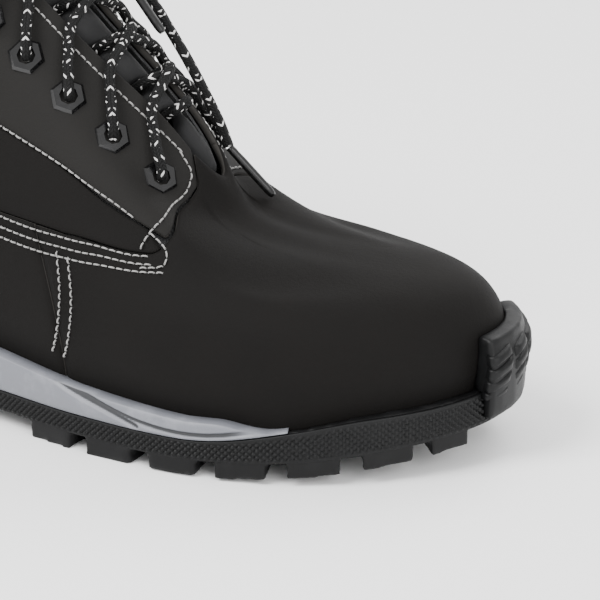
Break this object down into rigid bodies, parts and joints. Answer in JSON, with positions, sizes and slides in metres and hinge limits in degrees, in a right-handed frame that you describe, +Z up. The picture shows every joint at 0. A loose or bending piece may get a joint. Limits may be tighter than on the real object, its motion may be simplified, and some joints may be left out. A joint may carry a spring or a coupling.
{
  "type": "steel toe work boot",
  "caption": "Lace-up ankle safety boot with a steel toe cap under the leather, a two-part lugged sole, hexagonal eyelets, a padded tongue and a heel pull loop.",
  "frame": {"origin": "middle of the footprint on the ground, under the boot", "axes": "+X towards the toe, +Z up, +Y towards the medial side of this right boot"},
  "size_m": [0.3186, 0.11, 0.1812],
  "materials": {
    "nubuck": "matt oiled nubuck",
    "facing_leather": "smooth matt leather",
    "collar_cloth": "padded textile",
    "lining_mesh": "spacer mesh",
    "footbed_foam": "cloth-covered foam",
    "fibre_board": "pressed fibre",
    "steel": "bare pressed steel",
    "tread_rubber": "matt moulded rubber",
    "bumper_rubber": "moulded rubber",
    "midsole_foam": "moulded polyurethane foam",
    "eyelet_paint": "gloss black",
    "lace_cord": "round braid with pale flecks",
    "aglet_film": "clear-lacquered tip",
    "webbing": "woven tape"
  },
  "bodies": {
    "boot": {"outsole": "tread_rubber", "midsole": "midsole_foam", "toe_bumper": "bumper_rubber", "shank": "steel", "insole_board": "fibre_board", "vamp": "nubuck", "heel_panel": "nubuck", "backstay": "facing_leather", "collar": "collar_cloth", "lining": "lining_mesh", "heel_counter": "fibre_board", "steel_toe_cap": "steel", "cap_edge_strip": "tread_rubber", "lace": "lace_cord", "heel_loop_tab": "webbing", "quarter_lateral": "nubuck", "facing_lateral": "facing_leather", "eyelet_stay_lateral": "fibre_board", "quarter_padding_lateral": "footbed_foam", "lace_end_lateral": "lace_cord", "aglet_lateral": "aglet_film", "eyelet_lateral_1": "eyelet_paint", "eyelet_lateral_2": "eyelet_paint", "eyelet_lateral_3": "eyelet_paint", "eyelet_lateral_4": "eyelet_paint", "eyelet_lateral_5": "eyelet_paint", "quarter_medial": "nubuck", "facing_medial": "facing_leather", "eyelet_stay_medial": "fibre_board", "quarter_padding_medial": "footbed_foam", "lace_end_medial": "lace_cord", "aglet_medial": "aglet_film", "eyelet_medial_1": "eyelet_paint", "eyelet_medial_2": "eyelet_paint", "eyelet_medial_3": "eyelet_paint", "eyelet_medial_4": "eyelet_paint", "eyelet_medial_5": "eyelet_paint"},
    "tongue": {"tongue": "collar_cloth"},
    "footbed": {"footbed": "footbed_foam"},
    "pull_loop": {"heel_pull_loop": "webbing"}
  },
  "joints": [
    {"name": "tongue_fold", "type": "hinge", "parent": "boot", "child": "tongue", "pos_m": [0.0523, 0.0005, 0.0713], "axis": [0, 1, 0], "range_deg": [-12, 0], "stiffness_Nm_per_rad": 0.25, "springref_deg": 8.59},
    {"name": "footbed_lift", "type": "hinge", "parent": "boot", "child": "footbed", "pos_m": [0.1415, 0, 0.0225], "axis": [0, 1, 0], "range_deg": [0, 6]},
    {"name": "pull_loop_fold", "type": "hinge", "parent": "boot", "child": "pull_loop", "pos_m": [-0.1524, 0.0005, 0.1532], "axis": [0, 1, 0], "range_deg": [-90, 0], "stiffness_Nm_per_rad": 0.002, "springref_deg": 11.46}
  ]
}
